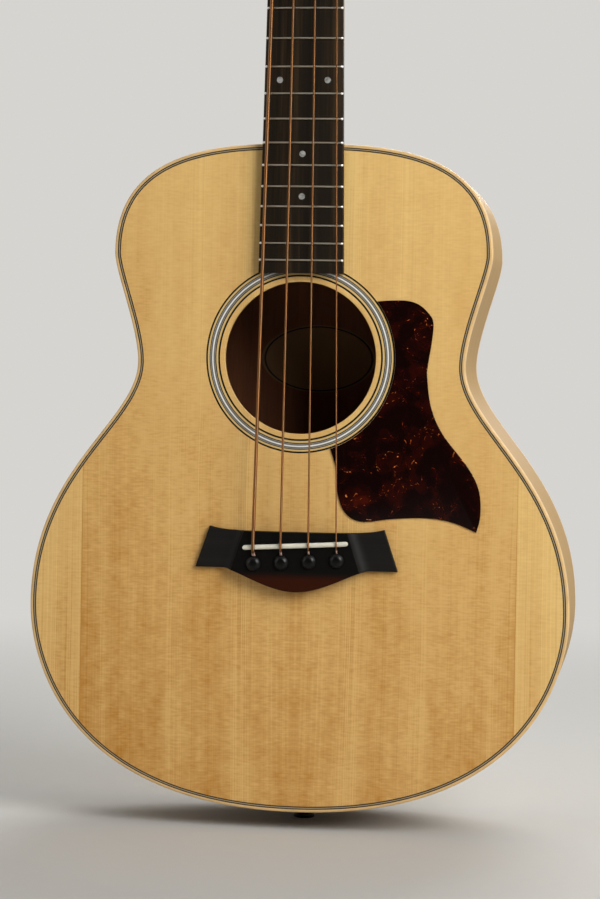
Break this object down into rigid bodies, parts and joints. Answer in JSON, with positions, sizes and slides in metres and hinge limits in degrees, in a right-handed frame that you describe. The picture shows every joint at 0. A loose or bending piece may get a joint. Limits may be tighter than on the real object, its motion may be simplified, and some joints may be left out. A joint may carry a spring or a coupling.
{
  "type": "acoustic bass guitar",
  "caption": "Short-scale hollow-bodied acoustic bass guitar with a flat top, round soundhole, pinned bridge, arched back, fretted neck and geared tuners.",
  "frame": {"origin": "centre of the strap button's outer flat face at the tail end, halfway through the body's tail depth", "axes": "+Z along the neck towards the headstock, -Y out of the soundboard, -X towards the thickest string"},
  "size_m": [0.3646, 0.1332, 0.9462],
  "materials": {
    "spruce_top": "satin lacquer on quartersawn spruce",
    "maple_body": "satin lacquer on maple",
    "neck_wood": "satin lacquer on maple",
    "cream_binding": "scraped and polished cream plastic",
    "purfling": "black and white fibre lines, levelled",
    "tortoise_guard": "polished tortoiseshell celluloid",
    "block_wood": "sanded bare wood",
    "brace_wood": "planed bare spruce",
    "label_paper": "matt paper",
    "ebony": "oiled ebony",
    "bone_white": "polished bone-white composite",
    "rod_steel": "plain steel",
    "black_plastic": "polished black plastic",
    "string_bronze": "phosphor bronze winding",
    "tuner_chrome": "chrome plate"
  },
  "bodies": {
    "instrument": {"soundboard": "spruce_top", "back_plate": "maple_body", "side_bass": "maple_body", "side_treble": "maple_body", "top_binding": "cream_binding", "back_binding": "cream_binding", "top_purfling": "purfling", "rosette": "purfling", "pickguard": "tortoise_guard", "neck_block": "block_wood", "tail_block": "block_wood", "top_lining_bass": "brace_wood", "top_lining_treble": "brace_wood", "back_lining_bass": "brace_wood", "back_lining_treble": "brace_wood", "x_brace_bass": "brace_wood", "x_brace_treble": "brace_wood", "upper_transverse_brace": "brace_wood", "tone_bar_upper": "brace_wood", "tone_bar_lower": "brace_wood", "bridge_plate": "block_wood", "soundhole_label": "label_paper", "neck": "neck_wood", "headstock": "neck_wood", "headstock_veneer": "ebony", "fingerboard": "ebony", "nut": "bone_white", "truss_rod": "rod_steel", "truss_rod_cover": "black_plastic", "bridge": "ebony", "saddle": "bone_white", "string_e": "string_bronze", "string_a": "string_bronze", "string_d": "string_bronze", "string_g": "string_bronze", "tuner_plate_e": "tuner_chrome", "tuner_plate_a": "tuner_chrome", "tuner_plate_d": "tuner_chrome", "tuner_plate_g": "tuner_chrome", "tuner_bushing_e": "tuner_chrome", "tuner_bushing_a": "tuner_chrome", "tuner_bushing_d": "tuner_chrome", "tuner_bushing_g": "tuner_chrome", "strap_button": "black_plastic"},
    "key_e": {"tuner_key_e": "tuner_chrome"},
    "key_a": {"tuner_key_a": "tuner_chrome"},
    "key_d": {"tuner_key_d": "tuner_chrome"},
    "key_g": {"tuner_key_g": "tuner_chrome"},
    "post_e": {"tuner_post_e": "tuner_chrome", "string_wraps_e": "string_bronze"},
    "post_a": {"tuner_post_a": "tuner_chrome", "string_wraps_a": "string_bronze"},
    "post_d": {"tuner_post_d": "tuner_chrome", "string_wraps_d": "string_bronze"},
    "post_g": {"tuner_post_g": "tuner_chrome", "string_wraps_g": "string_bronze"},
    "pin_e": {"bridge_pin_e": "black_plastic"},
    "pin_a": {"bridge_pin_a": "black_plastic"},
    "pin_d": {"bridge_pin_d": "black_plastic"},
    "pin_g": {"bridge_pin_g": "black_plastic"}
  },
  "joints": [
    {"name": "key_e_turn", "type": "hinge", "parent": "instrument", "child": "key_e", "pos_m": [-0.026, -0.02259, 0.85003], "axis": [1, 0, 0], "continuous": true},
    {"name": "key_a_turn", "type": "hinge", "parent": "instrument", "child": "key_a", "pos_m": [-0.0225, -0.00758, 0.90606], "axis": [1, 0, 0], "continuous": true},
    {"name": "key_d_turn", "type": "hinge", "parent": "instrument", "child": "key_d", "pos_m": [0.0225, -0.00758, 0.90606], "axis": [1, 0, 0], "continuous": true},
    {"name": "key_g_turn", "type": "hinge", "parent": "instrument", "child": "key_g", "pos_m": [0.026, -0.02259, 0.85003], "axis": [1, 0, 0], "continuous": true},
    {"name": "post_e_turn", "type": "hinge", "parent": "instrument", "child": "post_e", "pos_m": [-0.026, -0.04476, 0.84381], "axis": [0, 0.9659, -0.2588], "continuous": true},
    {"name": "post_a_turn", "type": "hinge", "parent": "instrument", "child": "post_a", "pos_m": [-0.0225, -0.02975, 0.89983], "axis": [0, 0.9659, -0.2588], "continuous": true},
    {"name": "post_d_turn", "type": "hinge", "parent": "instrument", "child": "post_d", "pos_m": [0.0225, -0.02975, 0.89983], "axis": [0, 0.9659, -0.2588], "continuous": true},
    {"name": "post_g_turn", "type": "hinge", "parent": "instrument", "child": "post_g", "pos_m": [0.026, -0.04476, 0.84381], "axis": [0, 0.9659, -0.2588], "continuous": true},
    {"name": "pin_e_pull", "type": "slide", "parent": "instrument", "child": "pin_e", "axis": [0, -1, 0], "range_m": [0, 0.028]},
    {"name": "pin_a_pull", "type": "slide", "parent": "instrument", "child": "pin_a", "axis": [0, -1, 0], "range_m": [0, 0.028]},
    {"name": "pin_d_pull", "type": "slide", "parent": "instrument", "child": "pin_d", "axis": [0, -1, 0], "range_m": [0, 0.028]},
    {"name": "pin_g_pull", "type": "slide", "parent": "instrument", "child": "pin_g", "axis": [0, -1, 0], "range_m": [0, 0.028]}
  ],
  "couplings": [
    {"joint": "post_e_turn", "follows": "key_e_turn", "ratio": -0.05},
    {"joint": "post_a_turn", "follows": "key_a_turn", "ratio": -0.05},
    {"joint": "post_d_turn", "follows": "key_d_turn", "ratio": 0.05},
    {"joint": "post_g_turn", "follows": "key_g_turn", "ratio": 0.05}
  ]
}
